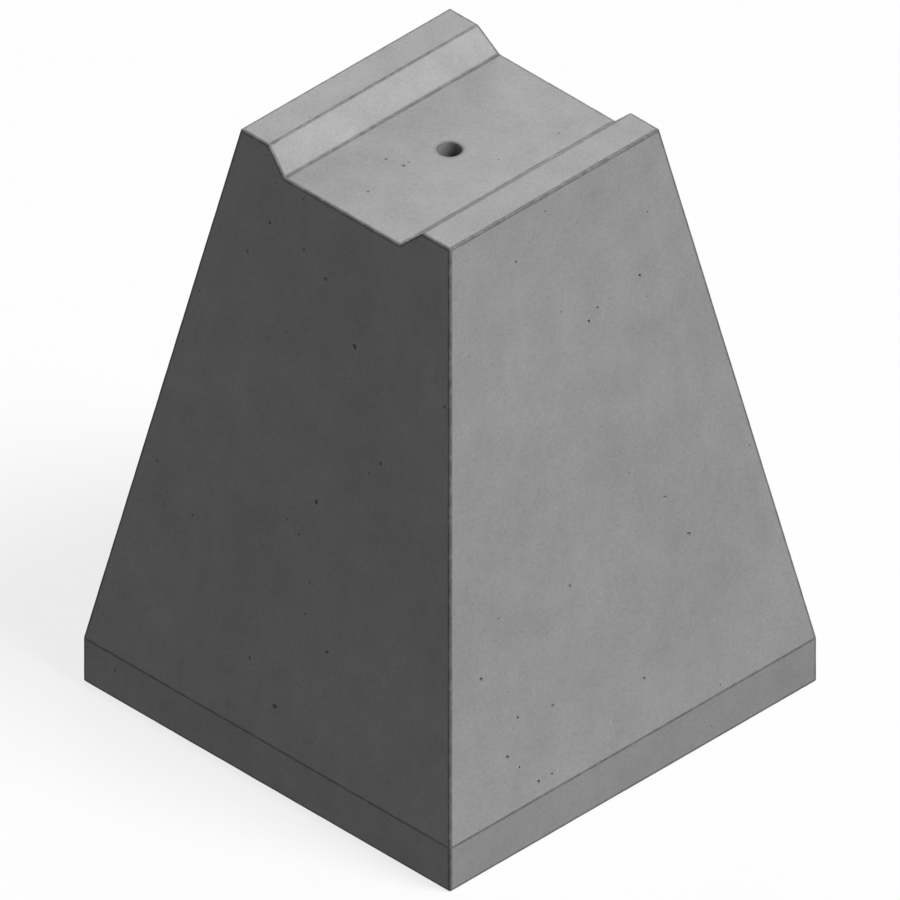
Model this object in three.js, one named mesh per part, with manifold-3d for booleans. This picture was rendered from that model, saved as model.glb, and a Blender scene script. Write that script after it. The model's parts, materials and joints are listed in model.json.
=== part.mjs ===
// Column base block: one solid concrete casting that carries the foot of a post or the run of a
// ground beam. A square foot with a low upright band tapers on all four sides to a square head.
// A shallow channel with leaning sides runs right across the head, and a blind dowel hole goes
// down from the middle of its floor.
// Millimetres, +Z up, channel along Y, origin at the middle of the underside.

import * as THREE from "three";
import { ConvexGeometry } from "three/addons/geometries/ConvexGeometry.js";
import { mergeVertices } from "three/addons/utils/BufferGeometryUtils.js";
import Module from "manifold-3d";

// Driving sizes
const seatWidth = 110; // flat floor of the channel, where the post or beam stands
const channelDepth = 17; // from the ridge tops down to the seat
const channelFlare = 18; // how far each channel side leans outwards on its way up
const ridgeWidth = 27; // flat top of the ridge on each side of the channel
const baseSide = 350;
const blockHeight = 456;
const bandHeight = 36; // upright band round the foot
const holeDiameter = 16;
const holeDepth = 120; // below the seat
const arrisRadius = 1.5; // rounding of the outer edges
const seatFillet = 2; // hollow rounding where the channel sides meet the seat
const holeMouthEase = 0.5; // small slope round the mouth of the hole

// Fineness of the rounded stretches
const arrisSteps = 4;
const filletSteps = 4;
const holeSides = 48;

// Sizes that follow
const topSide = seatWidth + 2 * (channelFlare + ridgeWidth);
const seatLevel = blockHeight - channelDepth;
const lean = Math.atan2((baseSide - topSide) / 2, blockHeight - bandHeight);
// From the middle to the centre of the rounding along each edge of the head
const headReach = topSide / 2 + arrisRadius * (Math.tan(lean) - 1 / Math.cos(lean));
const quarterTurn = Math.PI / 2;
const upright = new THREE.Vector3(0, 0, 1);

// The cutters run this far past the block, so that they leave no skin.
const overrun = 20;
const weldDistance = 1e-4;

const wasm = await Module();
wasm.setup();

function solidOf(geometry) {
  const bare = geometry.clone();
  bare.deleteAttribute("normal");
  bare.deleteAttribute("uv");
  const welded = mergeVertices(bare, weldDistance);
  return new wasm.Manifold(
    new wasm.Mesh({
      numProp: 3,
      vertProperties: welded.attributes.position.array,
      triVerts: new Uint32Array(welded.index.array),
    }),
  );
}

function geometryOf(solid) {
  const { vertProperties, triVerts } = solid.getMesh();
  const geometry = new THREE.BufferGeometry();
  geometry.setAttribute("position", new THREE.BufferAttribute(vertProperties, 3));
  geometry.setIndex(new THREE.BufferAttribute(triVerts, 1));
  geometry.computeVertexNormals();
  return geometry;
}

// Points on the four balls that round the block's corners at one level: each ball has its centre at
// (+-reach, +-reach, level), and only its outer quarter is taken, between the two elevations.
function cornerBalls(reach, level, lowest, highest) {
  const points = [];
  for (let corner = 0; corner < 4; corner += 1) {
    const turned = corner * quarterTurn;
    for (let i = 0; i <= arrisSteps; i += 1) {
      const azimuth = (i / arrisSteps) * quarterTurn;
      for (let j = 0; j <= arrisSteps; j += 1) {
        const elevation = lowest + (j / arrisSteps) * (highest - lowest);
        const outwards = new THREE.Vector3(
          Math.cos(elevation) * Math.cos(azimuth),
          Math.cos(elevation) * Math.sin(azimuth),
          Math.sin(elevation),
        );
        const point = new THREE.Vector3(reach, reach, level).addScaledVector(outwards, arrisRadius);
        points.push(point.applyAxisAngle(upright, turned));
      }
    }
  }
  return points;
}

// The uncut block is the skin stretched round those balls, at the foot, at the top of the band
// and at the head.
function taperedBody() {
  const bandReach = baseSide / 2 - arrisRadius;
  const bandLevel = bandHeight - arrisRadius * Math.tan(lean / 2);
  return solidOf(
    new ConvexGeometry([
      ...cornerBalls(bandReach, arrisRadius, -quarterTurn, 0),
      ...cornerBalls(bandReach, bandLevel, 0, lean),
      ...cornerBalls(headReach, blockHeight - arrisRadius, lean, quarterTurn),
    ]),
  );
}

// Draws on to a corner of an outline and round it, as a curve that touches both of its sides.
function roundCorner(outline, before, corner, after, radius) {
  const back = before.clone().sub(corner).normalize();
  const onwards = after.clone().sub(corner).normalize();
  const turn = Math.PI - Math.acos(back.dot(onwards));
  const start = corner.clone().addScaledVector(back, radius * Math.tan(turn / 2));
  const end = corner.clone().addScaledVector(onwards, radius * Math.tan(turn / 2));
  outline.lineTo(start.x, start.y);
  outline.quadraticCurveTo(corner.x, corner.y, end.x, end.y);
}

// The channel's surface in X and Z, from ridge top to ridge top.
function channelLine() {
  const seatEdge = seatWidth / 2;
  const mouthEdge = seatEdge + channelFlare;
  const farEdge = mouthEdge + ridgeWidth;
  const corners = [
    new THREE.Vector2(-farEdge, blockHeight),
    new THREE.Vector2(-mouthEdge, blockHeight),
    new THREE.Vector2(-seatEdge, seatLevel),
    new THREE.Vector2(seatEdge, seatLevel),
    new THREE.Vector2(mouthEdge, blockHeight),
    new THREE.Vector2(farEdge, blockHeight),
  ];
  const radii = [arrisRadius, seatFillet, seatFillet, arrisRadius];
  const openEdge = mouthEdge + arrisRadius * Math.tan(Math.atan2(channelDepth, channelFlare) / 2);
  const line = new THREE.Path();
  line.moveTo(-openEdge, blockHeight);
  radii.forEach((radius, i) => {
    roundCorner(line, corners[i], corners[i + 1], corners[i + 2], radius);
  });
  const isNew = (point, i, all) => i === 0 || point.distanceTo(all[i - 1]) > weldDistance;
  return line.getPoints(filletSteps).filter(isNew);
}

// Which way each point of a line moves, and how far, when the line sinks by one into the concrete.
function sinkings(line) {
  return line.map((point, i) => {
    if (i === 0 || i === line.length - 1) return new THREE.Vector2(0, -1);
    const arriving = point.clone().sub(line[i - 1]).normalize();
    const leaving = line[i + 1].clone().sub(point).normalize();
    const along = arriving.clone().add(leaving).normalize();
    return new THREE.Vector2(along.y, -along.x).divideScalar(along.dot(leaving));
  });
}

// One closed skin through a row of outlines, front to back, that have the same number of points.
function skinThrough(outlines) {
  const count = outlines[0].length;
  const last = (outlines.length - 1) * count;
  const index = [];
  for (let row = 0; row < last; row += count) {
    for (let i = 0; i < count; i += 1) {
      const a = row + i;
      const b = row + ((i + 1) % count);
      index.push(a, b + count, b, a, a + count, b + count);
    }
  }
  const flat = outlines[0].map((point) => new THREE.Vector2(point.x, point.z));
  for (const [a, b, c] of THREE.ShapeUtils.triangulateShape(flat, [])) {
    index.push(a, b, c, last + a, last + c, last + b);
  }
  return new THREE.BufferGeometry().setFromPoints(outlines.flat()).setIndex(index);
}

// The channel is cut by one body that runs along Y. Near each sloping face it swells as an arris
// turns, so that the channel's ends are rounded in line with the ridges' own.
function channelCutter() {
  const line = channelLine();
  const sinking = sinkings(line);
  const coverLevel = blockHeight + overrun;
  const cover = [line[line.length - 1], line[0]].map(({ x }) => new THREE.Vector2(x, coverLevel));
  const levels = [...line, ...cover].map((point) => point.y);
  // The outline on one side of the block, this far past the start of the rounding and sunk this deep
  const outlineAt = (side, past, depth) => {
    const sunk = line.map((point, i) => point.clone().addScaledVector(sinking[i], depth));
    return [...sunk, ...cover].map((point, i) => {
      const reach = headReach + (blockHeight - levels[i]) * Math.tan(lean) + past;
      return new THREE.Vector3(point.x, side * reach, point.y);
    });
  };
  const stations = [];
  for (let i = 0; i <= arrisSteps; i += 1) {
    const turned = (i / arrisSteps) * (quarterTurn - lean);
    stations.push([arrisRadius * Math.sin(turned), arrisRadius * (1 - Math.cos(turned))]);
  }
  const [furthest, deepest] = stations[arrisSteps];
  stations.push([furthest + overrun, deepest]);
  const front = stations.map(([past, depth]) => outlineAt(-1, past, depth)).reverse();
  const back = stations.map(([past, depth]) => outlineAt(1, past, depth));
  return solidOf(skinThrough([...front, ...back]));
}

// A plug turned about the block's axis: flat end, straight wall and the eased mouth at the seat.
function holeCutter() {
  const radius = holeDiameter / 2;
  const wide = radius + holeMouthEase;
  const profile = [
    new THREE.Vector2(0, seatLevel - holeDepth),
    new THREE.Vector2(radius, seatLevel - holeDepth),
    new THREE.Vector2(radius, seatLevel - holeMouthEase),
    new THREE.Vector2(wide, seatLevel),
    new THREE.Vector2(wide, seatLevel + overrun),
    new THREE.Vector2(0, seatLevel + overrun),
  ];
  const plug = new THREE.LatheGeometry(profile, holeSides);
  plug.rotateX(quarterTurn);
  return solidOf(plug);
}

const concrete = new THREE.MeshStandardMaterial({
  name: "cast_concrete",
  color: 0xa6a6a6,
  roughness: 0.9,
  metalness: 0,
});

const casting = taperedBody().subtract(channelCutter()).subtract(holeCutter());
const block = new THREE.Mesh(geometryOf(casting), concrete);
block.name = "base_block";

const columnBaseBlock = new THREE.Group();
columnBaseBlock.name = "column_base_block";
columnBaseBlock.add(block);

export default columnBaseBlock;
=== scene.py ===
# Looks of the column base block: one precast concrete casting on a white studio floor, seen from above its
# near corner. Metres throughout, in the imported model's own frame: +Z up, the channel along Y.

import json
import math
import random

import bmesh
import bpy
from mathutils import Matrix, Vector, kdtree, noise


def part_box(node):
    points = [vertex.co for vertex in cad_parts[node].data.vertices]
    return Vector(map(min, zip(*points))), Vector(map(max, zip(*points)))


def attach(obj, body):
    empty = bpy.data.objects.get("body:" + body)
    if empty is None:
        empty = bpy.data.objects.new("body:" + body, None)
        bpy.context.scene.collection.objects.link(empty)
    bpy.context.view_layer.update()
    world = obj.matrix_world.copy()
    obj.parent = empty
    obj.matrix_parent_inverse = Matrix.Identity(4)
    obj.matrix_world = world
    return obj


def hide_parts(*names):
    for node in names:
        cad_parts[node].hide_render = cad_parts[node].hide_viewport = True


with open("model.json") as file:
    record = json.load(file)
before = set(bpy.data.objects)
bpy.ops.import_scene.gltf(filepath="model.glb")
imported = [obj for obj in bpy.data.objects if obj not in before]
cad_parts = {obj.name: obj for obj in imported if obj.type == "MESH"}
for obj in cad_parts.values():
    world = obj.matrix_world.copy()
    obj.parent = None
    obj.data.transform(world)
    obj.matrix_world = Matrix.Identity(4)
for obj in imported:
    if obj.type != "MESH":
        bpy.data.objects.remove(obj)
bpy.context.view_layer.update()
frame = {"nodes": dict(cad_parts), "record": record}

NODE = "base_block"

WELD = 1e-6  # points nearer than this are one, and levels nearer than this are the same

# Places on the casting, read from the frame
LOW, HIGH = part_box(NODE)
MOUNTS = {mount["name"]: mount for mount in frame["record"]["mounts"]}
SEAT_LEVEL = MOUNTS["post_seat"]["pos_m"][2]
NEAR_AXIS = 0.03  # below the seat, the dowel hole is all that lies this near the block's axis
HOLE_RADIUS = max(
    vert.co.xy.length
    for vert in frame["nodes"][NODE].data.vertices
    if vert.co.z < SEAT_LEVEL - WELD and vert.co.xy.length < NEAR_AXIS
)
HOLE_EASE = 0.0004  # a little less than the slope of the hole's mouth, so what lies deeper is its wall
HOLE_REACH = HOLE_RADIUS + HOLE_EASE
MOUTH_SHADE_REACH = HOLE_RADIUS + 0.0045  # where the painted shade round the hole's mouth has faded out
DARK_DEPTH = 0.012  # below the seat, where the painted shade on the wall of the hole is darkest

# Finishes: the number that a face carries on the block
ON_MOULD, UNDERSIDE, IN_HOLE = range(3)

# Working the mesh
FLAT_ANGLE = math.radians(0.5)
BROAD_FACE = 1e-3  # square metres: above this a face is one of the flats, below it part of an arris
ARRIS_SPREAD = 0.0015  # how far the painted shade line of an arris reaches on to the flats
FORMER_LINE = 0.85  # the painted shade lines along the channel are this much of an arris line
FORMER_EDGE = 0.004  # nearer than this to the channel's ends, a line belongs to the arris there
GRID = 0.006  # side of the squares that the flats are cut into, so that they can take relief
SQUARE_ON = 0.8  # a face that looks this much along an axis is left out of that axis's cuts
SHARP_ANGLE = math.radians(33)

# What the mould left in the surface
WAVE_DEPTH = 0.00014
WAVE_LENGTH = 0.055
RIPPLE_DEPTH = 0.00005
RIPPLE_LENGTH = 0.014
ARRIS_LOSS = 0.00016  # how far the most worn stretches of an arris have gone back
ARRIS_LENGTH = 0.009

# Air holes
AIR_HOLES = 420
SMALLEST_HOLE = 0.0004  # radius
LARGEST_HOLE = 0.0020
SMALLNESS = 3.4  # a higher power makes more of them small
FINE_FROM = 0.0011  # radius from which a hole is cut by a finer ball
SPARSE = 0.15  # how readily a hole forms where the air holes are fewest
SWARMS = 14.0  # swarms of air holes per metre
EDGE_GAP = 0.001  # an air hole's rim stays this clear of an arris line
RIM = 1.3  # radii from an air hole's middle to its outermost rim
APART = 1.4  # two air holes are this many times their radii apart
SUNK = (-0.15, 0.45)  # how many radii a hole's middle lies outside the skin
OVAL = (0.75, 1.0)
SHALLOW = (0.7, 1.0)
LUMPS = 0.09  # unevenness of an air hole, in radii
SEED = 41  # of the dice and of the noise that gives the air holes their lumps: 0 would take the clock

# Tones and relief of the skin
NOISE_SPAN = (0.3, 0.7)  # nearly all of a noise lies between these
DRIFT_SPAN = (0.35, 0.65)  # the part of it over which one grey turns into the other
DRIFT = 14.0  # drifts between the two greys per metre
LINE_TONE = 0.42  # what the painted shade of an arris line leaves of the skin's tone
BARE_SAND = 4.0  # the sand in an arris line stands out this many times further
PINHOLE_TONE = 0.5  # what a pinhole leaves of the skin's tone
BOARD_MARKS = 0.35  # height of the board's drag marks, in millimetres

# Each concrete drifts between a warmer and a cooler grey.
SKIN_GREYS = ((0.371, 0.370, 0.368), (0.367, 0.369, 0.370))
UNDERSIDE_GREYS = ((0.352, 0.348, 0.340), (0.340, 0.342, 0.342))
AIR_HOLE_GREYS = ((0.262, 0.258, 0.252), (0.250, 0.252, 0.252))
# The dowel hole's greys are painted dark, as shade inside the deep hole.
DOWEL_HOLE_SHADED_GREYS = ((0.242, 0.241, 0.239), (0.234, 0.235, 0.236))

# Camera: the picture is isometric, so the rays are parallel. The camera looks at the middle of the
# block, and its shift sets the block as high in the frame as the picture has it.
AZIMUTH = math.radians(45)
ELEVATION = math.atan(math.sqrt(0.5))
AIM = (LOW + HIGH) / 2
CAMERA_DISTANCE = 3.0
FRAME_WIDTH = 0.6068
FRAME_SHIFT = -0.0502

# Studio: the key comes down over the +X side, and the fill comes in low from behind
KEY_FROM = Vector((0.184, 0.080, 0.289))
KEY = 2.91
KEY_ANGLE = math.radians(24)
FILL_FROM = Vector((-0.70, 0.70, 0.09))
FILL = 1.2
FILL_ANGLE = math.radians(30)
AMBIENT = 0.17
BACKDROP = 0.985
FLOOR_HALF = 40.0
FLOOR_DROP = 0.0001  # the floor lies this far below the block's underside
FLOOR_TONE = 0.20  # share of the floor's white that shadows can take away


def add(tree, kind, values=None, **settings):
    """Adds a node, sets its own settings and fills its sockets: by a link where the value is a socket."""
    item = tree.nodes.new(kind)
    for name, setting in settings.items():
        setattr(item, name, setting)
    for name, value in (values or {}).items():
        if isinstance(value, bpy.types.NodeSocket):
            tree.links.new(value, item.inputs[name])
        else:
            item.inputs[name].default_value = value
    return item


def reckon(tree, operation, first, second):
    """The result of one sum on two numbers or sockets."""
    return add(tree, "ShaderNodeMath", {0: first, 1: second}, operation=operation).outputs[0]


def spread(tree, value, low, high, to_low, to_high, curve="LINEAR"):
    """Value brought from low..high to to_low..to_high, and held at both ends."""
    limits = {"Value": value, "From Min": low, "From Max": high, "To Min": to_low, "To Max": to_high}
    return add(tree, "ShaderNodeMapRange", limits, interpolation_type=curve).outputs["Result"]


def place(tree):
    """Where the point is on the block."""
    return tree.nodes.new("ShaderNodeTexCoord").outputs["Object"]


def noise_field(tree, spot, **settings):
    """Soft noise at a spot, mostly within NOISE_SPAN."""
    return add(tree, "ShaderNodeTexNoise", {"Vector": spot, **settings}).outputs["Fac"]


def cell_field(tree, per_metre):
    """Cells of about one size: what is known of the point's own cell, and the numbers drawn for it."""
    cells = add(tree, "ShaderNodeTexVoronoi", {"Vector": place(tree), "Scale": per_metre}).outputs
    return cells, add(tree, "ShaderNodeSeparateColor", {"Color": cells["Color"]}).outputs


def around_one(tree, value, span, contrast):
    """A tone around 1: value over its span gives 1 - contrast to 1 + contrast."""
    swing = spread(tree, value, *span, -1.0, 1.0)
    return reckon(tree, "ADD", 1.0, reckon(tree, "MULTIPLY", swing, contrast))


def effect_group(name, given, results):
    """An empty group with named number sockets. Gives its tree, what goes in and what comes out."""
    tree = bpy.data.node_groups.new(name, "ShaderNodeTree")
    for label, default in given.items():
        socket = tree.interface.new_socket(name=label, in_out="INPUT", socket_type="NodeSocketFloat")
        socket.default_value = default
    for label in results:
        tree.interface.new_socket(name=label, in_out="OUTPUT", socket_type="NodeSocketFloat")
    return tree, tree.nodes.new("NodeGroupInput").outputs, tree.nodes.new("NodeGroupOutput").inputs


def clouding_group():
    """Soft clouds, where the paste settled lighter and darker against the mould."""
    tree, given, result = effect_group(
        "clouding", {"Scale": 10.0, "Detail": 3.0, "Contrast": 0.06}, ["Tone"]
    )
    field = noise_field(
        tree, place(tree), Scale=given["Scale"], Detail=given["Detail"], Roughness=0.55
    )
    tree.links.new(around_one(tree, field, NOISE_SPAN, given["Contrast"]), result["Tone"])
    return tree


def run_down_group():
    """Faint upright streaks, where release oil ran down the mould."""
    tree, given, result = effect_group("run_down", {"Contrast": 0.03}, ["Tone"])
    drawn_out = add(tree, "ShaderNodeMapping", {"Vector": place(tree), "Scale": (70.0, 70.0, 4.0)})
    field = noise_field(tree, drawn_out.outputs["Vector"], Scale=1.0, Detail=2.0)
    tree.links.new(around_one(tree, field, NOISE_SPAN, given["Contrast"]), result["Tone"])
    return tree


def sand_group():
    """Grains of sand in the skin: the tone of each grain, and how far it stands up, in millimetres."""
    tree, given, result = effect_group(
        "sand", {"Grains per metre": 900.0, "Contrast": 0.08, "Relief": 0.03}, ["Tone", "Height"]
    )
    cells, draw = cell_field(tree, given["Grains per metre"])
    tree.links.new(around_one(tree, draw["Red"], (0.0, 1.0), given["Contrast"]), result["Tone"])
    bulge = spread(tree, cells["Distance"], 0.0, 0.6, 1.0, 0.0, "SMOOTHSTEP")
    tree.links.new(reckon(tree, "MULTIPLY", bulge, given["Relief"]), result["Height"])
    return tree


def pinhole_group():
    """Pinholes too small for the mesh, in a share of the cells: where they are, and their height."""
    tree, given, result = effect_group(
        "pinholes", {"Cells per metre": 220.0, "Share": 0.3, "Depth": 0.25}, ["Mask", "Height"]
    )
    cells, draw = cell_field(tree, given["Cells per metre"])
    chosen = reckon(tree, "LESS_THAN", draw["Green"], given["Share"])
    radius = spread(tree, draw["Blue"], 0.0, 1.0, 0.04, 0.11)
    outwards = reckon(tree, "DIVIDE", cells["Distance"], radius)
    inside = spread(tree, outwards, 0.6, 1.0, 1.0, 0.0, "SMOOTHSTEP")
    mask = reckon(tree, "MULTIPLY", inside, chosen)
    downwards = reckon(tree, "MULTIPLY", given["Depth"], -1.0)
    tree.links.new(mask, result["Mask"])
    tree.links.new(reckon(tree, "MULTIPLY", mask, downwards), result["Height"])
    return tree


def dark_edge_line_group():
    """The line of painted shade along each arris and crease, broken up in places by noise."""
    tree, given, result = effect_group("dark_edge_line", {"Evenness": 0.6}, ["Mask"])
    edge = add(tree, "ShaderNodeAttribute", attribute_name="arris").outputs["Fac"]
    broken = noise_field(tree, place(tree), Scale=160.0, Detail=3.0)
    kept = spread(tree, broken, 0.35, 0.6, given["Evenness"], 1.0)
    line = spread(tree, edge, 0.12, 0.95, 0.0, 1.0, "SMOOTHSTEP")
    tree.links.new(reckon(tree, "MULTIPLY", line, kept), result["Mask"])
    return tree


def hole_mouth_shade_group():
    """A soft dark ring of painted shade on the seat, round the mouth of the hole."""
    tree, given, result = effect_group("hole_mouth_shade", {"Darkest": 0.7}, ["Tone"])
    flat = (1.0, 1.0, 0.0)
    level = add(tree, "ShaderNodeVectorMath", {0: place(tree), 1: flat}, operation="MULTIPLY").outputs
    away = add(tree, "ShaderNodeVectorMath", {0: level["Vector"]}, operation="LENGTH").outputs["Value"]
    ring = spread(tree, away, HOLE_RADIUS, MOUTH_SHADE_REACH, given["Darkest"], 1.0, "SMOOTHSTEP")
    tree.links.new(ring, result["Tone"])
    return tree


def depth_shade_group():
    """Painted shade: the hole's wall grows darker on its way down."""
    tree, given, result = effect_group("depth_shade", {"At the mouth": 1.0, "Deep down": 0.5}, ["Tone"])
    height = add(tree, "ShaderNodeSeparateXYZ", {"Vector": place(tree)}).outputs["Z"]
    deep = SEAT_LEVEL - DARK_DEPTH
    tone = spread(
        tree, height, deep, SEAT_LEVEL, given["Deep down"], given["At the mouth"], "SMOOTHSTEP"
    )
    tree.links.new(tone, result["Tone"])
    return tree


def use(tree, group, **values):
    """Places a shared effect in a material with its own values: an underscore stands for a space."""
    item = tree.nodes.new("ShaderNodeGroup")
    item.node_tree = group
    for name, value in values.items():
        item.inputs[name.replace("_", " ")].default_value = value
    return item.outputs


def all_of(tree, operation, parts):
    """The sum or the product of several sockets."""
    total = parts[0]
    for part in parts[1:]:
        total = reckon(tree, operation, total, part)
    return total


def concrete(name, greys, build):
    """A concrete that drifts between two greys. What build gives: tones, heights in mm, and roughness."""
    material = bpy.data.materials.new(name)
    material.use_nodes = True
    tree = material.node_tree
    tones, heights, roughness = build(tree)
    drift = add(
        tree, "ShaderNodeValToRGB", {"Fac": noise_field(tree, place(tree), Scale=DRIFT, Detail=2.0)}
    )
    for end, position, grey in zip(drift.color_ramp.elements, DRIFT_SPAN, greys):
        end.position = position
        end.color = (*grey, 1.0)
    tone = all_of(tree, "MULTIPLY", tones)
    shade = {0: drift.outputs["Color"], "Scale": tone}
    colour = add(tree, "ShaderNodeVectorMath", shade, operation="SCALE")
    relief = add(tree, "ShaderNodeBump", {"Height": all_of(tree, "ADD", heights), "Distance": 0.001})
    shader = tree.nodes["Principled BSDF"]
    tree.links.new(colour.outputs["Vector"], shader.inputs["Base Color"])
    tree.links.new(roughness, shader.inputs["Roughness"])
    tree.links.new(relief.outputs["Normal"], shader.inputs["Normal"])
    return material


def mould_faced(effects):
    """The smooth skin that set against the mould, with painted shade in a sandier line along every arris
    and crease, and in a ring round the dowel hole's mouth.
    """

    def build(tree):
        broad = use(tree, effects["clouding"], Scale=7.0, Detail=2.0, Contrast=0.05)["Tone"]
        close = use(tree, effects["clouding"], Scale=38.0, Detail=4.0, Contrast=0.055)["Tone"]
        streaks = use(tree, effects["run_down"], Contrast=0.02)["Tone"]
        fine = use(tree, effects["sand"], Grains_per_metre=1100.0, Contrast=0.07, Relief=0.02)
        coarse = use(tree, effects["sand"], Grains_per_metre=420.0, Contrast=0.03, Relief=0.02)
        pinholes = use(tree, effects["pinholes"], Cells_per_metre=210.0, Share=0.32, Depth=0.22)
        # painted shade: a darker line along every arris and crease, where the sand also stands out further
        line = use(tree, effects["dark_edge_line"], Evenness=0.65)["Mask"]
        # painted shade: a soft dark ring round the mouth of the dowel hole
        ring_shade = use(tree, effects["hole_mouth_shade"], Darkest=0.68)["Tone"]
        in_hole = spread(tree, pinholes["Mask"], 0.0, 1.0, 1.0, PINHOLE_TONE)
        in_line = spread(tree, line, 0.0, 1.0, 1.0, LINE_TONE)
        bareness = reckon(tree, "MULTIPLY", line, BARE_SAND)
        bare_sand = reckon(tree, "MULTIPLY", fine["Height"], bareness)
        roughness = spread(tree, close, 0.94, 1.06, 0.63, 0.51)
        tones = [broad, close, streaks, fine["Tone"], coarse["Tone"], in_hole, in_line, ring_shade]
        heights = [fine["Height"], coarse["Height"], pinholes["Height"], bare_sand]
        return tones, heights, roughness

    return concrete("mould_faced_concrete", SKIN_GREYS, build)


def struck_off(effects):
    """The underside, struck off with a board while wet: open, sandy and dragged one way."""

    def build(tree):
        broad = use(tree, effects["clouding"], Scale=9.0, Detail=3.0, Contrast=0.09)["Tone"]
        grains = use(tree, effects["sand"], Grains_per_metre=520.0, Contrast=0.12, Relief=0.12)
        pinholes = use(tree, effects["pinholes"], Cells_per_metre=130.0, Share=0.6, Depth=0.6)
        dragged = add(tree, "ShaderNodeMapping", {"Vector": place(tree), "Scale": (6.0, 220.0, 6.0)})
        board = noise_field(tree, dragged.outputs["Vector"], Scale=1.0, Detail=4.0)
        marks = reckon(tree, "MULTIPLY", board, BOARD_MARKS)
        in_hole = spread(tree, pinholes["Mask"], 0.0, 1.0, 1.0, 0.55)
        roughness = spread(tree, broad, 0.9, 1.1, 0.95, 0.86)
        return [broad, grains["Tone"], in_hole], [grains["Height"], pinholes["Height"], marks], roughness

    return concrete("struck_off_concrete", UNDERSIDE_GREYS, build)


def air_hole_wall(effects):
    """The smooth paste inside an air hole, a little darker than the skin."""

    def build(tree):
        close = use(tree, effects["clouding"], Scale=300.0, Detail=2.0, Contrast=0.10)["Tone"]
        fine = use(tree, effects["sand"], Grains_per_metre=1600.0, Contrast=0.06, Relief=0.01)
        roughness = spread(tree, close, 0.9, 1.1, 0.72, 0.60)
        return [close, fine["Tone"]], [fine["Height"]], roughness

    return concrete("air_hole_wall", AIR_HOLE_GREYS, build)


def dowel_hole_wall(effects):
    """The wall that the hole's former left: close, and painted much darker than the skin as shade in the
    deep hole.
    """

    def build(tree):
        broad = use(tree, effects["clouding"], Scale=60.0, Detail=3.0, Contrast=0.14)["Tone"]
        fine = use(tree, effects["sand"], Grains_per_metre=1300.0, Contrast=0.10, Relief=0.02)
        pinholes = use(tree, effects["pinholes"], Cells_per_metre=260.0, Share=0.4, Depth=0.2)
        in_hole = spread(tree, pinholes["Mask"], 0.0, 1.0, 1.0, 0.6)
        # painted shade: darker further down the hole
        depth_shade_tone = use(tree, effects["depth_shade"], At_the_mouth=1.3, Deep_down=0.75)["Tone"]
        roughness = spread(tree, broad, 0.86, 1.14, 0.62, 0.82)
        return [broad, fine["Tone"], in_hole, depth_shade_tone], [fine["Height"], pinholes["Height"]], roughness

    return concrete("dowel_hole_wall", DOWEL_HOLE_SHADED_GREYS, build)


def merged_casting():
    """The block as cast: a copy of its node, its loose triangles merged and its flats made whole."""
    bm = bmesh.new()
    bm.from_mesh(frame["nodes"][NODE].data)
    bmesh.ops.remove_doubles(bm, verts=bm.verts, dist=WELD)
    bmesh.ops.dissolve_limit(bm, angle_limit=FLAT_ANGLE, verts=bm.verts, edges=bm.edges)
    return bm


def draw_arris_lines(bm):
    """Insets every flat a little and marks what lies outside the inset: 1 on the arris, 0 on the flat."""
    arris = bm.verts.layers.float.new("arris")
    for vert in bm.verts:
        vert[arris] = 1.0
    flats = [face for face in bm.faces if face.calc_area() > BROAD_FACE]
    bmesh.ops.inset_region(
        bm, faces=flats, thickness=ARRIS_SPREAD, use_even_offset=True, use_boundary=True
    )
    for face in flats:
        for vert in face.verts:
            vert[arris] = 0.0
    return arris


def soften_channel_lines(bm, arris):
    """Makes the painted shade lines that run along the channel fainter than those of the other arrises."""
    tops = [vert.co for vert in bm.verts if vert.co.z > HIGH.z - WELD]
    ridge_middle = (min(abs(co.x) for co in tops) + max(abs(co.x) for co in tops)) / 2
    end = max(co.y for co in tops) - FORMER_EDGE
    for vert in bm.verts:
        inside = abs(vert.co.x) < ridge_middle and abs(vert.co.y) < end
        if inside and vert.co.z > SEAT_LEVEL - WELD:
            vert[arris] *= FORMER_LINE


def in_the_hole(spot):
    """Whether a spot on the casting lies on the wall or the end of the dowel hole."""
    return spot.xy.length < HOLE_REACH and spot.z < SEAT_LEVEL - HOLE_EASE


def name_surfaces(bm):
    """Gives each face the number of its finish."""
    for face in bm.faces:
        middle = face.calc_center_median()
        if middle.z < WELD:
            face.material_index = UNDERSIDE
        elif in_the_hole(middle):
            face.material_index = IN_HOLE
        else:
            face.material_index = ON_MOULD


def rule_grid(bm):
    """Cuts the faces into squares of about GRID, along each axis that they don't look along."""
    for axis in range(3):
        across = Vector((0.0, 0.0, 0.0))
        across[axis] = 1.0
        span = HIGH[axis] - LOW[axis]
        count = math.ceil(span / GRID)
        faces = [face for face in bm.faces if abs(face.normal[axis]) < SQUARE_ON]
        parts = dict.fromkeys(part for face in faces for part in (*face.verts, *face.edges))
        geom = [*parts, *faces]
        for cut in range(count):
            level = across * (LOW[axis] + (cut + 0.5) * span / count)
            ruled = bmesh.ops.bisect_plane(bm, geom=geom, dist=WELD, plane_co=level, plane_no=across)
            geom = ruled["geom"]


def swell(spot, length):
    """A slow rise and fall over the block, from 0 to 1, with waves of this length."""
    return 0.5 + 0.5 * noise.noise(spot / length)


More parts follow.
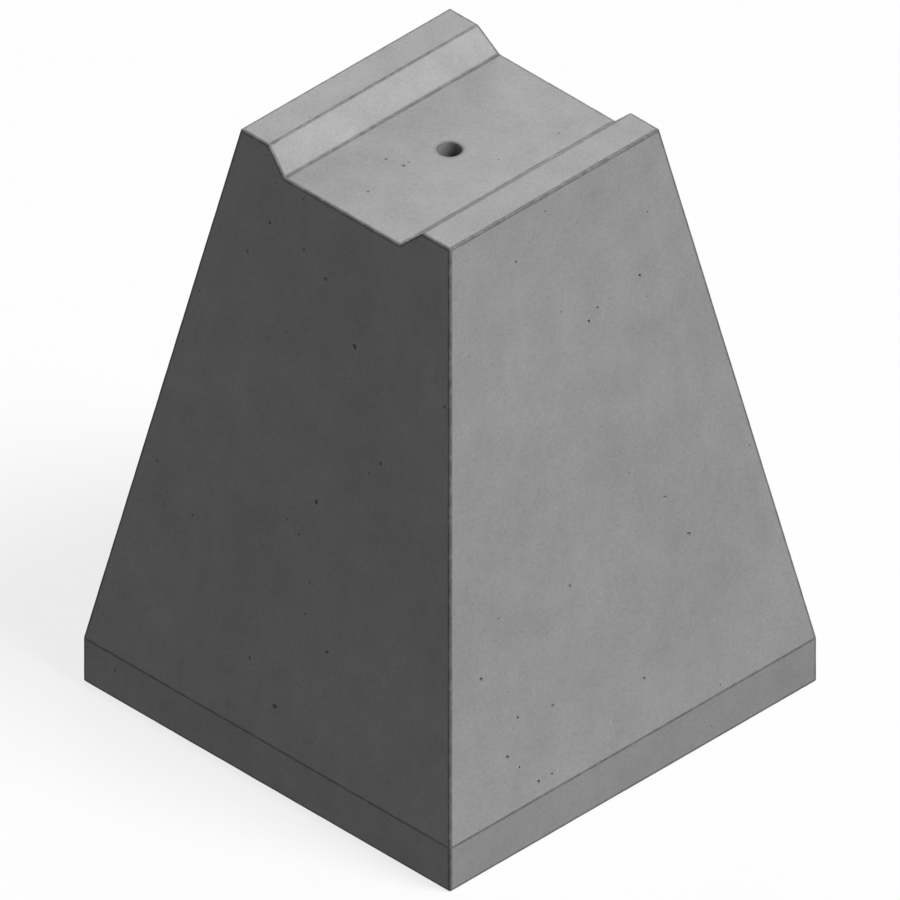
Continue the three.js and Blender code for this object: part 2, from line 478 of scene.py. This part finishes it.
def press_mould_relief(bm, arris):
    """Sinks the skin by the mould's slow waves and ripples, and wears the arrises a little unevenly."""
    bm.normal_update()
    for vert in bm.verts:
        if in_the_hole(vert.co):
            continue
        wave = swell(vert.co, WAVE_LENGTH)
        ripple = swell(vert.co, RIPPLE_LENGTH)
        wear = max(0.0, noise.noise(vert.co / ARRIS_LENGTH)) * vert[arris]
        sunk = vert.normal * (WAVE_DEPTH * wave + RIPPLE_DEPTH * ripple + ARRIS_LOSS * wear)
        if vert.co.z < WELD:
            sunk.z = 0.0
        vert.co -= sunk


def finder_of(spots):
    """A finder of the nearest of these spots."""
    finder = kdtree.KDTree(len(spots))
    for number, spot in enumerate(spots):
        finder.insert(spot, number)
    finder.balance()
    return finder


def is_plain_flat(face, arris):
    """Whether a face lies on the mould's flats, clear of every arris line."""
    return face.material_index == ON_MOULD and all(vert[arris] == 0.0 for vert in face.verts)


def air_hole_sites(bm, arris, dice):
    """Where air was trapped on the flats: each hole's place, way out and radius, none near another."""
    lines = finder_of([vert.co.copy() for vert in bm.verts if vert[arris] > 0.0])
    faces = [face for face in bm.faces if is_plain_flat(face, arris)]
    swarms = [max(0.0, noise.noise(face.calc_center_median() * SWARMS)) for face in faces]
    crowding = [face.calc_area() * (SPARSE + swarm) for face, swarm in zip(faces, swarms)]
    sites = []
    while len(sites) < AIR_HOLES:
        face = dice.choices(faces, weights=crowding)[0]
        radius = SMALLEST_HOLE * (LARGEST_HOLE / SMALLEST_HOLE) ** (dice.random() ** SMALLNESS)
        aside = (dice.random() - 0.5) * (face.verts[0].co - face.verts[-1].co)
        spot = face.calc_center_median() + aside
        if lines.find(spot)[2] < radius * RIM + EDGE_GAP:
            continue
        if any((spot - other).length < APART * (radius + taken) for other, out, taken in sites):
            continue
        sites.append((spot, face.normal.copy(), radius))
    return sites


def air_hole_cutter(sites, dice, wall):
    """One object of lumpy balls, one sunk at each site."""
    bm = bmesh.new()
    for spot, out, radius in sites:
        middle = spot + out * radius * dice.uniform(*SUNK)
        facing = out.to_track_quat("Z", "Y").to_matrix().to_4x4()
        turned = Matrix.Rotation(dice.uniform(0, math.tau), 4, "Z")
        squeezed = Matrix.Diagonal((1.0, dice.uniform(*OVAL), dice.uniform(*SHALLOW), 1.0))
        ball = bmesh.ops.create_icosphere(
            bm,
            subdivisions=3 if radius > FINE_FROM else 2,
            radius=radius,
            matrix=Matrix.Translation(middle) @ facing @ turned @ squeezed,
        )
        for vert in ball["verts"]:
            vert.co += noise.noise_vector(vert.co / radius) * radius * LUMPS
    mesh = bpy.data.meshes.new("air_hole_cutter")
    bm.to_mesh(mesh)
    bm.free()
    mesh.materials.append(wall)
    cutter = bpy.data.objects.new("air_hole_cutter", mesh)
    bpy.context.scene.collection.objects.link(cutter)
    return cutter


def cut_away(block, cutter):
    """Cuts the block by the cutter for good, and clears the cutter away."""
    cut = block.modifiers.new("cut", "BOOLEAN")
    cut.operation = "DIFFERENCE"
    cut.solver = "MANIFOLD"
    cut.material_mode = "TRANSFER"
    cut.object = cutter
    finished = block.evaluated_get(bpy.context.evaluated_depsgraph_get())
    mesh = bpy.data.meshes.new_from_object(finished)
    block.modifiers.remove(cut)
    block.data = mesh
    bpy.data.objects.remove(cutter)


def smooth_between_sharp_edges(block):
    """Smooth shading that stops at rims, and flats that stay flat beside their rounded arrises."""
    mesh = block.data
    for name in ("custom_normal", "sharp_face"):
        if name in mesh.attributes:
            mesh.attributes.remove(mesh.attributes[name])
    mesh.shade_smooth()
    mesh.set_sharp_from_angle(angle=SHARP_ANGLE)
    weighted = block.modifiers.new("flats_stay_flat", "WEIGHTED_NORMAL")
    weighted.keep_sharp = True


def casting():
    """The whole block, with its relief, its air holes and its four finishes."""
    effects = {
        "clouding": clouding_group(),
        "run_down": run_down_group(),
        "sand": sand_group(),
        "pinholes": pinhole_group(),
        "dark_edge_line": dark_edge_line_group(),
        "hole_mouth_shade": hole_mouth_shade_group(),
        "depth_shade": depth_shade_group(),
    }
    dice = random.Random(SEED)
    noise.seed_set(SEED)
    bm = merged_casting()
    arris = draw_arris_lines(bm)
    name_surfaces(bm)
    rule_grid(bm)
    soften_channel_lines(bm, arris)
    press_mould_relief(bm, arris)
    bm.normal_update()
    sites = air_hole_sites(bm, arris, dice)
    mesh = bpy.data.meshes.new("block_casting")
    bm.to_mesh(mesh)
    bm.free()
    for finish in (mould_faced(effects), struck_off(effects), dowel_hole_wall(effects)):
        mesh.materials.append(finish)
    block = bpy.data.objects.new("block_casting", mesh)
    bpy.context.scene.collection.objects.link(block)
    cut_away(block, air_hole_cutter(sites, dice, air_hole_wall(effects)))
    smooth_between_sharp_edges(block)
    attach(block, "root")
    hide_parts(NODE)
    return block


def camera():
    """Level with neither side of the block: it looks down one corner at the isometric angle."""
    data = bpy.data.cameras.new("camera")
    data.type = "ORTHO"
    data.ortho_scale = FRAME_WIDTH
    data.shift_y = FRAME_SHIFT
    seer = bpy.data.objects.new("camera", data)
    bpy.context.scene.collection.objects.link(seer)
    back = Vector(
        (
            math.sin(AZIMUTH) * math.cos(ELEVATION),
            -math.cos(AZIMUTH) * math.cos(ELEVATION),
            math.sin(ELEVATION),
        )
    )
    seer.location = AIM + back * CAMERA_DISTANCE
    seer.rotation_euler = (-back).to_track_quat("-Z", "Y").to_euler()
    bpy.context.scene.camera = seer


def lamp(name, comes_from, strength, angle):
    """A broad soft light that shines evenly from one direction."""
    data = bpy.data.lights.new(name, "SUN")
    data.energy = strength
    data.angle = angle
    light = bpy.data.objects.new(name, data)
    light.rotation_euler = comes_from.to_track_quat("Z", "Y").to_euler()
    bpy.context.scene.collection.objects.link(light)


def surroundings():
    """An even dim glow all round, with a white backdrop where the camera looks past the block."""
    world = bpy.data.worlds.new("studio")
    world.use_nodes = True
    tree = world.node_tree
    seen = tree.nodes.new("ShaderNodeLightPath").outputs["Is Camera Ray"]
    strength = spread(tree, seen, 0.0, 1.0, AMBIENT, BACKDROP)
    background = tree.nodes["Background"]
    background.inputs["Color"].default_value = (1.0, 1.0, 1.0, 1.0)
    tree.links.new(strength, background.inputs["Strength"])
    bpy.context.scene.world = world


def studio_floor():
    """A wide white floor, lit from inside so far that it just reaches the backdrop's white."""
    lit = KEY * KEY_FROM.normalized().z + FILL * FILL_FROM.normalized().z
    bm = bmesh.new()
    bmesh.ops.create_grid(bm, x_segments=1, y_segments=1, size=FLOOR_HALF)
    bmesh.ops.translate(bm, verts=bm.verts, vec=(0.0, 0.0, -FLOOR_DROP))
    mesh = bpy.data.meshes.new("studio_floor")
    bm.to_mesh(mesh)
    bm.free()
    material = bpy.data.materials.new("white_floor")
    material.use_nodes = True
    shader = material.node_tree.nodes["Principled BSDF"].inputs
    shader["Base Color"].default_value = (FLOOR_TONE, FLOOR_TONE, FLOOR_TONE, 1.0)
    shader["Roughness"].default_value = 1.0
    shader["Specular IOR Level"].default_value = 0.0
    shader["Emission Color"].default_value = (1.0, 1.0, 1.0, 1.0)
    shader["Emission Strength"].default_value = BACKDROP - FLOOR_TONE * (lit / math.pi + AMBIENT)
    mesh.materials.append(material)
    floor = bpy.data.objects.new("studio_floor", mesh)
    floor.visible_diffuse = False
    floor.visible_glossy = False
    bpy.context.scene.collection.objects.link(floor)


camera()
casting()
lamp("key_light", KEY_FROM, KEY, KEY_ANGLE)
lamp("fill_light", FILL_FROM, FILL, FILL_ANGLE)
surroundings()
studio_floor()
bpy.context.scene.view_settings.view_transform = "Standard"
